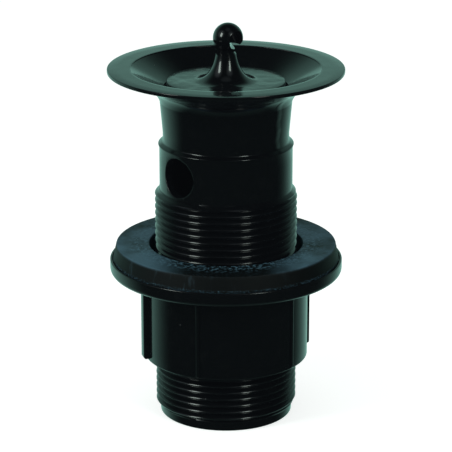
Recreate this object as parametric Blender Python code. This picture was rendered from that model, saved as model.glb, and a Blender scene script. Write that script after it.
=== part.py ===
"""A basin waste: the drain of a sink, with its stopper, clamping washer and screwed outlet coupler.

The drain body hangs in the sink's hole by its rim. Its threaded tail screws into the coupler, whose
collar carries the rubber washer up against the underside of the sink. The coupler's own threaded
outlet takes the trap. The stopper lifts out of the bowl by the hook in its ball.

Lengths are in millimetres and turned into metres as the meshes are made. +Z is up, the origin is
the centre of the outlet's end, and the two overflow ports of the body look along -Y and +Y.
"""

import math

import bmesh
import bpy
from mathutils import Matrix

MM = 0.001
ROUND_SIDES = 48
STOPPER_SIDES = 40
HOOK_SIDES = 24
PORT_SIDES = 32
RUNNING_GAP = 0.3  # between pieces that touch on the real drain
EDGE = 0.3  # broken edge of a moulding
ROOTED = 1.5  # how deep a rib or bar is sunk into the wall that it grows from

# Pipe thread G 1 1/2, on the tail of the body and on the outlet of the coupler. Every other
# radius of the drain follows from its crest.
THREAD_R = 23.9
THREAD_PITCH = 2.309
THREAD_ROOT_R = THREAD_R - 0.6403 * THREAD_PITCH
THREAD_ROOT_FLAT = 0.2  # share of the pitch
THREAD_CREST_FLAT = 0.2
THREAD_END_SNAP = 0.05  # a thread's points this near its end go to the end
ENGAGED_TURNS = 5.33

# Rubber clamping washer
WASHER_BORE_R = THREAD_R + 2.0
WASHER_WIDTH = 12.2
WASHER_THICK = 5.9
WASHER_TAPER = 1.1
WASHER_ROUND = 0.5

# Coupler
SPIGOT_LENGTH = 2.8
OUTLET_THREAD_LENGTH = 17.5
OUTLET_BORE_R = THREAD_R - 4.0
SPIGOT_ROUND = 0.6
FLOOR_THICK = 3.1
COUPLER_BORE_R = THREAD_R + RUNNING_GAP
BARREL_WALL = 3.5
BARREL_R = COUPLER_BORE_R + BARREL_WALL
BARREL_HEIGHT = 29.6
BARREL_FILLET = 1.2
LIP_HEIGHT = 1.0
LIP_THICK = 0.8
COLLAR_R = WASHER_BORE_R + WASHER_WIDTH + RUNNING_GAP + LIP_THICK
COLLAR_THICK = 3.8
COLLAR_ROUND = 1.8
COUPLER_MOUTH_CHAMFER = 1.2
WING_REACH = 1.8
WING_THICK = 4.0
WING_TAPER = 0.3
WING_END_GAP = 0.9
WING_CORNER = 0.7
RIDGE_REACH = 0.45
RIDGE_WIDTH = 1.1
RIDGE_END_GAP = 0.5
RIDGE_SPREAD = math.radians(36)
COUPLER_TURN = math.radians(-30)  # from the front port to the nearer wing

# Drain body
TAIL_LENGTH = 38.0
TAIL_BORE_R = THREAD_R - 4.4
PORT_BAND_R = THREAD_R - 1.8
PORT_BAND_HEIGHT = 14.1
PORT_R = 6.7
BEAD_REACH = 0.28
BEAD_HEIGHT = 2.9
NECK_R = PORT_BAND_R - 1.2
NECK_TOP_R = NECK_R + 1.0
NECK_STRAIGHT = 2.2
HEAD_HEIGHT = 24.0  # from the top of the bead to the top of the rim
WASTE_BORE_R = TAIL_BORE_R - 1.1
FLARE_ROUND = 6.0
BOWL_WALL = 2.0
SEAT_WIDTH = 2.0
SEAT_R = WASTE_BORE_R + SEAT_WIDTH
SEAT_MOUTH_R = SEAT_R + 1.8
SEAT_DEPTH = 3.0
SEAT_CHAMFER = 0.4
BOWL_MOUTH_R = SEAT_MOUTH_R + 9.4
BOWL_DEPTH = 5.4
RIM_R = COLLAR_R + 0.2
RIM_THICK = 1.3
RIM_ROUND = 0.35
PORT_ABOVE_MIDDLE = 0.2  # the ports sit a little above the middle of their band
GRATE_DEPTH = 4.0
GRATE_DROP = 12.5  # from the stopper's seat to the top of the strainer
GRATE_BAR_WIDTH = 2.2
GRATE_BAR_DRAFT = 0.6  # width of a bar's lower edge over that of its top
GRATE_HUB_R = 4.2
GRATE_BARS = 3  # each bar crosses the whole bore

# Stopper
SEAL_THICK = 1.6
SEAL_R = SEAT_R - 0.7
SEAL_BEVEL = 0.5
DISC_R = SEAL_R + 0.1
DISC_THICK = 2.0
DISC_ROUND = 0.4
SKIRT_R = WASTE_BORE_R - 0.7
SKIRT_END_R = SKIRT_R - 0.8
SEAL_BORE_R = SKIRT_R - 0.8
SKIRT_WALL = 1.8
SKIRT_DEPTH = 6.2
TRUMPET_BASE_R = 11.0
TRUMPET_TOP_R = 2.95
TRUMPET_HEIGHT = 8.8
TRUMPET_HOLLOW_R = 8.6
TRUMPET_HOLLOW_HEIGHT = 4.4
STEM_R = 2.7
STEM_LENGTH = 1.3
BALL_R = 5.0
STEM_SHIFT = -0.75  # the stem stands this far behind the axis, seen from the hook's tip
BALL_SHIFT = 0.65  # and the ball this far before it
HOOK_EYE = (3.0, -2.35)  # out and up from the ball's centre
HOOK_EYE_R = 0.2
HOOK_MOUTH = (3.0, 0.05)
HOOK_MOUTH_R = 2.6
HOOK_MOUTH_DEPTH = 3.0  # from the eye to where the mouth reaches its full width
HOOK_CEILING = ((0.55, -1.2), (2.65, -2.05), (6.0, -3.0))
HOOK_THROAT_FOOT = 1.3  # from the ball's centre out to the slot's inner wall, at its foot
HOOK_TURN = math.radians(43.7)  # the slot runs across the stopper at this turn from the front port

# Heights, from the outlet's end up
BARREL_BOTTOM = SPIGOT_LENGTH + OUTLET_THREAD_LENGTH
COLLAR_BOTTOM = BARREL_BOTTOM + BARREL_HEIGHT
WASHER_SEAT = COLLAR_BOTTOM + COLLAR_THICK
TAIL_END = WASHER_SEAT - ENGAGED_TURNS * THREAD_PITCH
THREAD_TOP = TAIL_END + TAIL_LENGTH
BEAD_BOTTOM = THREAD_TOP + PORT_BAND_HEIGHT
BEAD_TOP = BEAD_BOTTOM + BEAD_HEIGHT
PORT_HEIGHT = THREAD_TOP + PORT_BAND_HEIGHT / 2 + PORT_ABOVE_MIDDLE
RIM_TOP = BEAD_TOP + HEAD_HEIGHT
RIM_UNDER = RIM_TOP - RIM_THICK
BOWL_BOTTOM = RIM_TOP - BOWL_DEPTH
SEAT_TOP = BOWL_BOTTOM - SEAT_DEPTH
GRATE_TOP = SEAT_TOP - GRATE_DROP
DISC_UNDER = SEAT_TOP + SEAL_THICK + 2 * RUNNING_GAP
DISC_TOP = DISC_UNDER + DISC_THICK
TRUMPET_TOP = DISC_TOP + TRUMPET_HEIGHT
STEM_TOP = TRUMPET_TOP + STEM_LENGTH
BALL_CENTRE = STEM_TOP + math.sqrt(BALL_R**2 - STEM_R**2)


def arc(centre, radii, start, end, steps):
    """Points on an ellipse's arc, from one angle to the other in degrees, both ends included."""
    turn = [math.radians(start + (end - start) * i / steps) for i in range(steps + 1)]
    return [(centre[0] + radii[0] * math.cos(t), centre[1] + radii[1] * math.sin(t)) for t in turn]


def new_object(name, mesh_builder):
    """An object whose mesh is what mesh_builder makes of an empty bmesh, in millimetres."""
    bm = bmesh.new()
    mesh_builder(bm)
    bmesh.ops.scale(bm, vec=(MM, MM, MM), verts=bm.verts)
    bmesh.ops.recalc_face_normals(bm, faces=bm.faces)
    mesh = bpy.data.meshes.new(name)
    bm.to_mesh(mesh)
    bm.free()
    obj = bpy.data.objects.new(name, mesh)
    bpy.context.collection.objects.link(obj)
    return obj


def turn_profile(bm, profile, sides, closed=True):
    """Spins a profile of (radius, height) points about Z. An open one begins and ends on the axis,
    or on the rings of a skin that is there already."""
    verts = [bm.verts.new((r, 0, z)) for r, z in profile]
    pairs = list(zip(verts, verts[1:]))
    if closed:
        pairs.append((verts[-1], verts[0]))
    edges = [bm.edges.new(pair) for pair in pairs]
    bmesh.ops.spin(
        bm,
        geom=verts + edges,
        cent=(0, 0, 0),
        axis=(0, 0, 1),
        angle=math.tau,
        steps=sides,
        use_merge=True,
    )
    bmesh.ops.remove_doubles(bm, verts=bm.verts, dist=1e-4)
    bmesh.ops.dissolve_degenerate(bm, edges=bm.edges, dist=1e-4)


def turned(name, profile, sides, closed=True):
    return smooth(new_object(name, lambda bm: turn_profile(bm, profile, sides, closed)))


def smooth(obj):
    obj.data.shade_smooth()
    obj.data.set_sharp_from_angle(angle=math.radians(35))
    return obj


def add_thread(bm, low, high, high_end_r):
    """The right-handed thread's skin between two heights. It runs down to the root's radius at its
    low end and to high_end_r at its high end, as rings that the plain profile joins."""
    root, crest = THREAD_ROOT_FLAT / 2, 0.5 - THREAD_CREST_FLAT / 2
    shape = [(root, THREAD_ROOT_R), (crest, THREAD_R), (1 - crest, THREAD_R), (1 - root, THREAD_ROOT_R)]
    shape.append((1 + root, THREAD_ROOT_R))
    foot = low - 1.5 * THREAD_PITCH
    verts = [bm.verts.new((r, 0, foot + THREAD_PITCH * share)) for share, r in shape]
    edges = [bm.edges.new(pair) for pair in zip(verts, verts[1:])]
    bmesh.ops.spin(
        bm,
        geom=verts + edges,
        cent=(0, 0, 0),
        axis=(0, 0, 1),
        dvec=(0, 0, THREAD_PITCH / ROUND_SIDES),
        angle=math.tau,
        steps=ROUND_SIDES,
    )
    one_turn = bm.verts[:] + bm.edges[:] + bm.faces[:]
    for i in range(1, math.ceil((high - low) / THREAD_PITCH) + 3):
        copied = bmesh.ops.duplicate(bm, geom=one_turn)["geom"]
        copied = [item for item in copied if isinstance(item, bmesh.types.BMVert)]
        bmesh.ops.translate(bm, vec=(0, 0, THREAD_PITCH * i), verts=copied)
    for vert in bm.verts:
        radius = math.hypot(vert.co.x, vert.co.y)
        if vert.co.z < low + THREAD_END_SNAP:
            vert.co.z, wanted = low, THREAD_ROOT_R
        elif vert.co.z > high - THREAD_END_SNAP:
            vert.co.z, wanted = high, high_end_r
        else:
            above, below = vert.co.z - low, high - vert.co.z
            wanted = min(radius, THREAD_ROOT_R + above, high_end_r + below)
        vert.co.x *= wanted / radius
        vert.co.y *= wanted / radius
    bmesh.ops.remove_doubles(bm, verts=bm.verts, dist=1e-4)


def threaded(name, thread_ends, profile):
    """A turned piece whose open profile is closed by a thread between thread_ends."""

    def build(bm):
        add_thread(bm, *thread_ends)
        turn_profile(bm, profile, ROUND_SIDES, closed=False)

    return smooth(new_object(name, build))


def curve(start, pull, end, steps):
    """Points on a curve from start to end that leaves both along the lines to pull."""
    points = []
    for i in range(steps + 1):
        t = i / steps
        weights = ((1 - t) ** 2, 2 * t * (1 - t), t**2)
        points.append(
            tuple(sum(w * p[k] for w, p in zip(weights, (start, pull, end))) for k in (0, 1))
        )
    return points


def add_grip(bm, root, reach, width, bottom, top, turn, taper, corner):
    """An upright rib from radius root out to reach, its outer corners rounded, its foot leaning in."""
    made = bmesh.ops.create_cube(bm, size=1.0)["verts"]
    bmesh.ops.scale(bm, vec=(reach - root, width, top - bottom), verts=made)
    bmesh.ops.translate(bm, vec=((root + reach) / 2, 0, (bottom + top) / 2), verts=made)
    for vert in made:
        if vert.co.x > root and vert.co.z < (bottom + top) / 2:
            vert.co.x -= taper
    outer = {v for v in made if v.co.x > (root + reach) / 2}
    upright = [
        edge
        for edge in bm.edges
        if outer.issuperset(edge.verts) and abs(edge.verts[0].co.z - edge.verts[1].co.z) > width
    ]
    ends = bmesh.ops.bevel(
        bm,
        geom=upright,
        offset=corner,
        offset_type="OFFSET",
        segments=2,
        profile=0.5,
        affect="EDGES",
    )["verts"]
    made = list({v for v in made if v.is_valid} | set(ends))
    bmesh.ops.rotate(bm, cent=(0, 0, 0), matrix=Matrix.Rotation(turn, 3, "Z"), verts=made)


def add_cylinder(bm, radii, depth, sides, place):
    bmesh.ops.create_cone(
        bm,
        cap_ends=True,
        segments=sides,
        radius1=radii[0],
        radius2=radii[1],
        depth=depth,
        matrix=place,
    )


def combine(obj, helper, operation):
    """A live Boolean. The helper is a wire guide that isn't part of the model."""
    helper.hide_render = True
    helper.display_type = "WIRE"
    modifier = obj.modifiers.new(helper.name, "BOOLEAN")
    modifier.operation = operation
    modifier.object = helper
    modifier.solver = "EXACT"


def plastic(name, colour, roughness):
    material = bpy.data.materials.new(name)
    material.use_nodes = True
    shader = material.node_tree.nodes["Principled BSDF"]
    shader.inputs["Base Color"].default_value = (*colour, 1.0)
    shader.inputs["Roughness"].default_value = roughness
    shader.inputs["Metallic"].default_value = 0.0
    return material


def coupler_profile():
    """From the top of the outlet's thread out over barrel and collar, then down the bore and round
    the spigot to the thread's lower end."""
    shoulder = BARREL_BOTTOM + FLOOR_THICK
    lip_top = WASHER_SEAT + LIP_HEIGHT
    collar_round_centre = (COLLAR_R - COLLAR_ROUND, COLLAR_BOTTOM + COLLAR_ROUND)
    fillet_centre = (BARREL_R + BARREL_FILLET, COLLAR_BOTTOM - BARREL_FILLET)
    return [
        (THREAD_ROOT_R, BARREL_BOTTOM),
        (BARREL_R - EDGE, BARREL_BOTTOM),
        (BARREL_R, BARREL_BOTTOM + EDGE),
        *arc(fillet_centre, (BARREL_FILLET, BARREL_FILLET), 180, 90, 3),
        *arc(collar_round_centre, (COLLAR_ROUND, COLLAR_ROUND), -90, 0, 4),
        (COLLAR_R, lip_top - EDGE),
        (COLLAR_R - EDGE, lip_top),
        (COLLAR_R - LIP_THICK, lip_top),
        (COLLAR_R - LIP_THICK, WASHER_SEAT),
        (COUPLER_BORE_R + COUPLER_MOUTH_CHAMFER, WASHER_SEAT),
        (COUPLER_BORE_R, WASHER_SEAT - COUPLER_MOUTH_CHAMFER),
        (COUPLER_BORE_R, shoulder),
        (OUTLET_BORE_R, shoulder),
        (OUTLET_BORE_R, 0),
        (THREAD_ROOT_R - SPIGOT_ROUND, 0),
        (THREAD_ROOT_R, SPIGOT_ROUND),
        (THREAD_ROOT_R, SPIGOT_LENGTH),
    ]


def add_grips(bm):
    """Two opposite wings and four low ridges, sunk into the barrel so that the union is clean."""
    root = BARREL_R - ROOTED
    top = COLLAR_BOTTOM + ROOTED
    for side in (0, math.pi):
        wing_turn = COUPLER_TURN - math.pi / 2 + side
        add_grip(
            bm,
            root,
            BARREL_R + WING_REACH,
            WING_THICK,
            BARREL_BOTTOM + WING_END_GAP,
            top,
            wing_turn,
            WING_TAPER,
            WING_CORNER,
        )
        for spread in (-RIDGE_SPREAD, RIDGE_SPREAD):
            add_grip(
                bm,
                root,
                BARREL_R + RIDGE_REACH,
                RIDGE_WIDTH,
                BARREL_BOTTOM + RIDGE_END_GAP,
                top,
                wing_turn + math.pi / 2 + spread,
                0.0,
                RIDGE_REACH / 2,
            )


def make_coupler(finish):
    thread_ends = (SPIGOT_LENGTH, BARREL_BOTTOM, THREAD_ROOT_R)
    coupler = threaded("outlet_coupler", thread_ends, coupler_profile())
    coupler.data.materials.append(finish)
    combine(coupler, new_object("guide_coupler_grips", add_grips), "UNION")


def make_washer(finish):
    """The washer lies in the collar's lip. Its side leans in towards its top face."""
    bottom = WASHER_SEAT + RUNNING_GAP
    top = bottom + WASHER_THICK
    outer = WASHER_BORE_R + WASHER_WIDTH
    profile = [
        (WASHER_BORE_R, bottom),
        (outer, bottom),
        (outer, bottom + LIP_HEIGHT),
        (outer - WASHER_TAPER, top - WASHER_ROUND),
        (outer - WASHER_TAPER - WASHER_ROUND, top),
        (WASHER_BORE_R + WASHER_ROUND / 2, top),
        (WASHER_BORE_R, top - WASHER_ROUND / 2),
    ]
    washer = turned("clamping_washer", profile, ROUND_SIDES)
    washer.data.materials.append(finish)


def bowl_slope():
    return math.atan2(BOWL_DEPTH, BOWL_MOUTH_R - SEAT_MOUTH_R)


def flare_points():
    """The outside of the bell: an arc that leaves the neck upright and ends along the bowl's cone,
    one wall thickness below it, then the cone as far as the flat underside of the rim."""
    slope = bowl_slope()
    below = (SEAT_MOUTH_R + BOWL_WALL * math.sin(slope), BOWL_BOTTOM - BOWL_WALL * math.cos(slope))
    centre_r = NECK_TOP_R + FLARE_ROUND
    centre_z = below[1] + (math.sin(slope) * (centre_r - below[0]) - FLARE_ROUND) / math.cos(slope)
    points = arc(
        (centre_r, centre_z), (FLARE_ROUND, FLARE_ROUND), 180, 90 + math.degrees(slope), 5
    )
    points.append((below[0] + (RIM_UNDER - below[1]) / math.tan(slope), RIM_UNDER))
    return points


def body_profile():
    """The moulding but for its ports and strainer, from the thread's top up and round to its foot."""
    bore_step = GRATE_TOP - GRATE_DEPTH - EDGE
    return [
        (PORT_BAND_R, THREAD_TOP),
        (PORT_BAND_R, BEAD_BOTTOM),
        *arc(
            (PORT_BAND_R, BEAD_BOTTOM + BEAD_HEIGHT / 2),
            (BEAD_REACH, BEAD_HEIGHT / 2 - EDGE),
            -60,
            75,
            3,
        ),
        (NECK_R, BEAD_TOP),
        (NECK_R, BEAD_TOP + NECK_STRAIGHT),
        *flare_points(),
        (RIM_R - RIM_ROUND, RIM_UNDER),
        (RIM_R, RIM_UNDER + RIM_ROUND),
        (RIM_R, RIM_TOP - RIM_ROUND),
        (RIM_R - RIM_ROUND, RIM_TOP),
        (BOWL_MOUTH_R + RIM_ROUND, RIM_TOP),
        (BOWL_MOUTH_R - RIM_ROUND, RIM_TOP - RIM_ROUND),
        (SEAT_MOUTH_R, BOWL_BOTTOM),
        (SEAT_R, SEAT_TOP),
        (WASTE_BORE_R + SEAT_CHAMFER, SEAT_TOP),
        (WASTE_BORE_R, SEAT_TOP - SEAT_CHAMFER),
        (WASTE_BORE_R, bore_step),
        (TAIL_BORE_R, bore_step - (TAIL_BORE_R - WASTE_BORE_R)),
        (TAIL_BORE_R, TAIL_END),
        (THREAD_ROOT_R, TAIL_END),
    ]


def add_ports(bm):
    """One cutter through both walls makes the two overflow ports. It is turned by half a facet, so
    that none of its edges lies in one of the body's."""
    place = Matrix.Translation((0, 0, PORT_HEIGHT)) @ Matrix.Rotation(math.pi / 2, 4, "X")
    place = place @ Matrix.Rotation(math.pi / PORT_SIDES, 4, "Z")
    add_cylinder(bm, (PORT_R, PORT_R), 2 * THREAD_R, PORT_SIDES, place)


def add_bar(bm, turn):
    """A bar of the strainer across the bore, its ends in the neck's wall and its lower edge thin."""
    half = WASTE_BORE_R + ROOTED
    middle = GRATE_TOP - GRATE_DEPTH / 2
    made = bmesh.ops.create_cube(bm, size=1.0)["verts"]
    bmesh.ops.scale(bm, vec=(2 * half, GRATE_BAR_WIDTH, GRATE_DEPTH), verts=made)
    for vert in made:
        if vert.co.z < 0:
            vert.co.y *= GRATE_BAR_DRAFT
    bmesh.ops.translate(bm, vec=(0, 0, middle), verts=made)
    bmesh.ops.rotate(bm, cent=(0, 0, 0), matrix=Matrix.Rotation(turn, 3, "Z"), verts=made)


def add_hub(bm):
    """The strainer's hub stands proud of the bars above and below."""
    place = Matrix.Translation((0, 0, GRATE_TOP - GRATE_DEPTH / 2))
    radii = (GRATE_HUB_R * GRATE_BAR_DRAFT, GRATE_HUB_R)
    add_cylinder(bm, radii, GRATE_DEPTH + 2 * EDGE, 24, place)


def make_body(finish):
    body = threaded("drain_body", (TAIL_END, THREAD_TOP, PORT_BAND_R), body_profile())
    body.data.materials.append(finish)
    combine(body, new_object("guide_overflow_ports", add_ports), "DIFFERENCE")
    for i in range(GRATE_BARS):
        turn = math.pi / 2 + math.pi * i / GRATE_BARS
        bar = new_object(f"guide_strainer_bar_{i + 1}", lambda bm, turn=turn: add_bar(bm, turn))
        combine(body, bar, "UNION")
    combine(body, new_object("guide_strainer_hub", add_hub), "UNION")


def stopper_profile():
    """From the top of the ball down over the outside, then up the hollow under the disc."""
    groove_r = SEAL_BORE_R - RUNNING_GAP
    skirt_end = SEAT_TOP - SKIRT_DEPTH
    stem_angle = -math.degrees(math.acos(STEM_R / BALL_R))
    hollow_top = DISC_UNDER + TRUMPET_HOLLOW_HEIGHT
    return [
        *arc((0, BALL_CENTRE), (BALL_R, BALL_R), 90, stem_angle, 9),
        (STEM_R, TRUMPET_TOP),
        *curve(
            (TRUMPET_TOP_R, TRUMPET_TOP),
            (TRUMPET_TOP_R + 1.4, DISC_TOP),
            (TRUMPET_BASE_R, DISC_TOP),
            8,
        ),
        (DISC_R - DISC_ROUND, DISC_TOP),
        (DISC_R, DISC_TOP - DISC_ROUND),
        (DISC_R, DISC_UNDER + DISC_ROUND),
        (DISC_R - DISC_ROUND, DISC_UNDER),
        (groove_r, DISC_UNDER),
        (groove_r, SEAT_TOP),
        (SKIRT_R, SEAT_TOP),
        (SKIRT_END_R, skirt_end),
        (SKIRT_END_R - SKIRT_WALL, skirt_end),
        (SKIRT_END_R - SKIRT_WALL, DISC_UNDER),
        *curve(
            (TRUMPET_HOLLOW_R, DISC_UNDER),
            (TRUMPET_TOP_R, DISC_UNDER),
            (TRUMPET_TOP_R / 2, hollow_top),
            4,
        ),
        (0, hollow_top),
    ]


def ease(share):
    share = min(max(share, 0.0), 1.0)
    return share * share * (3 - 2 * share)


def sideways(height):
    """How far the stopper's moulding stands off the axis at a height, towards the hook's tip."""
    to_stem = STEM_SHIFT * ease((height - DISC_TOP) / TRUMPET_HEIGHT)
    to_ball = (BALL_SHIFT - STEM_SHIFT) * ease((height - STEM_TOP) / (BALL_CENTRE - STEM_TOP))
    return to_stem + to_ball


def lean_stopper(obj):
    """Moves the stem behind the axis and the ball before it."""
    towards_tip = Matrix.Rotation(HOOK_TURN, 3, "Z").col[0]
    for vert in obj.data.vertices:
        vert.co += towards_tip * sideways(vert.co.z / MM) * MM


def hook_place():
    """The frame of the hook: its origin in the ball, X towards the hook's tip, Y along the slot."""
    return Matrix.Rotation(HOOK_TURN, 4, "Z") @ Matrix.Translation((BALL_SHIFT, 0, BALL_CENTRE))


def add_hook_mouths(bm):
    """Both mouths of the hook, as one skin through five rings: narrow at the eye, wide outside."""
    outside = BALL_R + 1.0
    sections = [
        (-outside, HOOK_MOUTH, HOOK_MOUTH_R),
        (-HOOK_MOUTH_DEPTH, HOOK_MOUTH, HOOK_MOUTH_R),
        (0.0, HOOK_EYE, HOOK_EYE_R),
        (HOOK_MOUTH_DEPTH, HOOK_MOUTH, HOOK_MOUTH_R),
        (outside, HOOK_MOUTH, HOOK_MOUTH_R),
    ]
    for depth, (out, up), radius in sections:
        lay = Matrix.Translation((out, depth, up)) @ Matrix.Rotation(math.pi / 2, 4, "X")
        bmesh.ops.create_circle(bm, segments=HOOK_SIDES, radius=radius, matrix=lay)
    rings = [list(bm.edges)[i * HOOK_SIDES : (i + 1) * HOOK_SIDES] for i in range(len(sections))]
    for near, far in zip(rings, rings[1:]):
        bmesh.ops.bridge_loops(bm, edges=near + far)
    for end in (rings[0], rings[-1]):
        bmesh.ops.contextual_create(bm, geom=end)
    bmesh.ops.transform(bm, matrix=hook_place(), verts=bm.verts)


def add_hook_slot(bm):
    """The slot from the eye down and out of the ball, under a ceiling that falls to the hook's tip."""
    outside = BALL_R + 1.0
    floor = TRUMPET_TOP - BALL_CENTRE + EDGE
    outline = [*HOOK_CEILING, (outside, floor), (HOOK_THROAT_FOOT, floor)]
    face = bm.faces.new([bm.verts.new((x, -outside, z)) for x, z in outline])
    moved = bmesh.ops.extrude_face_region(bm, geom=[face])["geom"]
    far = [item for item in moved if isinstance(item, bmesh.types.BMVert)]
    bmesh.ops.translate(bm, vec=(0, 2 * outside, 0), verts=far)
    bmesh.ops.transform(bm, matrix=hook_place(), verts=bm.verts)


def make_stopper(finish):
    stopper = turned("stopper", stopper_profile(), STOPPER_SIDES, closed=False)
    lean_stopper(stopper)
    stopper.data.materials.append(finish)
    combine(stopper, new_object("guide_hook_mouths", add_hook_mouths), "DIFFERENCE")
    combine(stopper, new_object("guide_hook_slot", add_hook_slot), "DIFFERENCE")


def make_seal(finish):
    """The rubber ring under the stopper's disc, which closes on the ledge of the seat."""
    bottom = SEAT_TOP + RUNNING_GAP
    top = bottom + SEAL_THICK
    profile = [
        (SEAL_BORE_R, bottom),
        (SEAL_R - SEAL_BEVEL, bottom),
        (SEAL_R, bottom + SEAL_BEVEL),
        (SEAL_R, top),
        (SEAL_BORE_R, top),
    ]
    seal = turned("stopper_seal", profile, STOPPER_SIDES)
    seal.data.materials.append(finish)


def clear_scene():
    for obj in list(bpy.data.objects):
        bpy.data.objects.remove(obj)


def main():
    clear_scene()
    moulding = plastic("black_moulding", (0.012, 0.014, 0.014), 0.3)
    rubber = plastic("grey_rubber", (0.045, 0.055, 0.062), 0.8)
    make_coupler(moulding)
    make_washer(rubber)
    make_body(moulding)
    make_stopper(moulding)
    make_seal(rubber)


main()
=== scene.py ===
"""Dresses the sink drain: fine mouldings with cut threads, their finishes, and the studio stage.

Every piece stands for a CAD node and rides on that node's body. Lengths are in metres. +Z is up,
the origin is the centre of the outlet's end, and the overflow ports look along -Y and +Y.
"""

import math

import bmesh
import bpy
from mathutils import Matrix, Vector


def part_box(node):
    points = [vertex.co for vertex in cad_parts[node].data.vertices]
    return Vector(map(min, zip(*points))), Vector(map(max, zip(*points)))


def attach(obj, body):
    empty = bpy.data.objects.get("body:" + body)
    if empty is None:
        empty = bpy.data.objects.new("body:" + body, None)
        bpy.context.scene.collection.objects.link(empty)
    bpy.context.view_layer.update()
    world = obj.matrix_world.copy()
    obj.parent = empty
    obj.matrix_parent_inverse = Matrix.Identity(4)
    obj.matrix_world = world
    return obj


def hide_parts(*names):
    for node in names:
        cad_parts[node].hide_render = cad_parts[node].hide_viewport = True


bl_info = {
    "name": "Sink Drain",
    "version": (1, 0, 0),
    "blender": (4, 5, 0),
    "location": "View3D > Sidebar > Sink Drain",
    "description": "Builds a black plastic sink drain with its stopper, washer and outlet coupler",
    "category": "Add Mesh",
}

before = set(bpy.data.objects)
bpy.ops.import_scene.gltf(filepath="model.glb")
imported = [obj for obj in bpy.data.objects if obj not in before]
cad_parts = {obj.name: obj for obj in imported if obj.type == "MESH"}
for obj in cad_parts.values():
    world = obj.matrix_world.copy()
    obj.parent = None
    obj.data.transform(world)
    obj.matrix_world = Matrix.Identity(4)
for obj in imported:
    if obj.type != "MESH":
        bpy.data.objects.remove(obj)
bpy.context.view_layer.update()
BODY_LOW, BODY_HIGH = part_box("drain_body")
_, COUPLER_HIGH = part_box("outlet_coupler")
WASHER_LOW, WASHER_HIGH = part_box("clamping_washer")
STOPPER_LOW, STOPPER_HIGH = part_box("stopper")
SEAL_LOW, SEAL_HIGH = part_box("stopper_seal")

MM = 0.001
SIDES = 192  # steps in a full turn of the large pieces
MERGE = 2e-6  # vertices closer together than this become one
SMOOTH_ANGLE = math.radians(38)  # an edge that bends more stays sharp
THREAD_DEPTH = 0.6403  # depth of a pipe thread, as a share of its pitch
THREAD_FULLNESS = 0.8  # below 1 the crests are wider than the roots
SEAL_GAP = 0.3 * MM  # between the seal and the plastic above and below it


def length(name, default, description):
    return bpy.props.FloatProperty(
        name=name, description=description, default=default, min=0.0, precision=5, unit="LENGTH"
    )


def turn(name, degrees, description):
    return bpy.props.FloatProperty(
        name=name, description=description, default=math.radians(degrees), subtype="ANGLE"
    )


def colour(name, default, description):
    return bpy.props.FloatVectorProperty(
        name=name, description=description, default=default, size=3, subtype="COLOR", min=0.0, max=1.0
    )


def share(name, default, description):
    return bpy.props.FloatProperty(
        name=name, description=description, default=default, min=0.0, max=1.0, subtype="FACTOR"
    )


class DrainThread(bpy.types.PropertyGroup):
    crest: length("Crest radius", 0.0239, "Radius of the thread's crest, G 1 1/2")
    pitch: length("Pitch", 0.002309, "Rise of the thread in one turn")

    def root(self):
        return self.crest - THREAD_DEPTH * self.pitch


class DrainBody(bpy.types.PropertyGroup):
    tail_length: length("Thread length", 0.0380, "Length of the tail's thread")
    tail_bore: length("Tail bore", 0.0195, "Inner radius of the tail")
    band_radius: length("Port band", 0.0223, "Radius of the plain band round the ports")
    band_height: length("Port band height", 0.0141, "From the top of the thread to the bead")
    port_radius: length("Port radius", 0.0067, "Radius of each overflow port")
    port_edge: length("Port edge", 0.00025, "Rounding of a port's mouth")
    port_above_middle: length("Port height", 0.0002, "From the middle of the band to a port's centre")
    bead_reach: length("Bead", 0.0004, "How far the bead stands off the band")
    bead_height: length("Bead height", 0.0029, "Height of the bead")
    neck_radius: length("Neck", 0.0211, "Radius of the neck above the bead")
    neck_top_radius: length("Neck top", 0.02205, "Radius of the neck where the bell leaves it")
    neck_straight: length("Straight neck", 0.0022, "Height of the neck before it widens")
    flare_round: length("Bell rounding", 0.008, "Radius of the arc between neck and bell")
    bell_crease: turn("Bell crease", 17.0, "Lean of the bell where it leaves the neck")
    waste_bore: length("Waste bore", 0.0184, "Inner radius between the seat and the strainer")
    bowl_wall: length("Bowl wall", 0.0026, "Thickness of the bell")
    bowl_mouth: length("Bowl mouth", 0.0316, "Radius of the bowl at the rim")
    bowl_step: length("Bowl step", 0.00035, "Upright step between the rim's flat and the bowl's cone")
    bowl_depth: length("Bowl depth", 0.0054, "From the rim down to the stopper's pocket")
    pocket_mouth: length("Pocket mouth", 0.0222, "Radius of the stopper's pocket at its top")
    seat_radius: length("Seat radius", 0.0204, "Outer radius of the ledge that the seal closes on")
    seat_depth: length("Seat depth", 0.003, "Depth of the stopper's pocket")
    rim_thick: length("Rim thickness", 0.0013, "Thickness of the rim's flat edge")
    strainer_drop: length("Strainer drop", 0.0125, "From the seat down to the strainer's top")
    strainer_depth: length("Strainer depth", 0.004, "Depth of the strainer's bars")
    strainer_bar: length("Strainer bar", 0.0022, "Width of a bar's top")
    strainer_hub: length("Strainer hub", 0.0042, "Radius of the strainer's hub")


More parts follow.
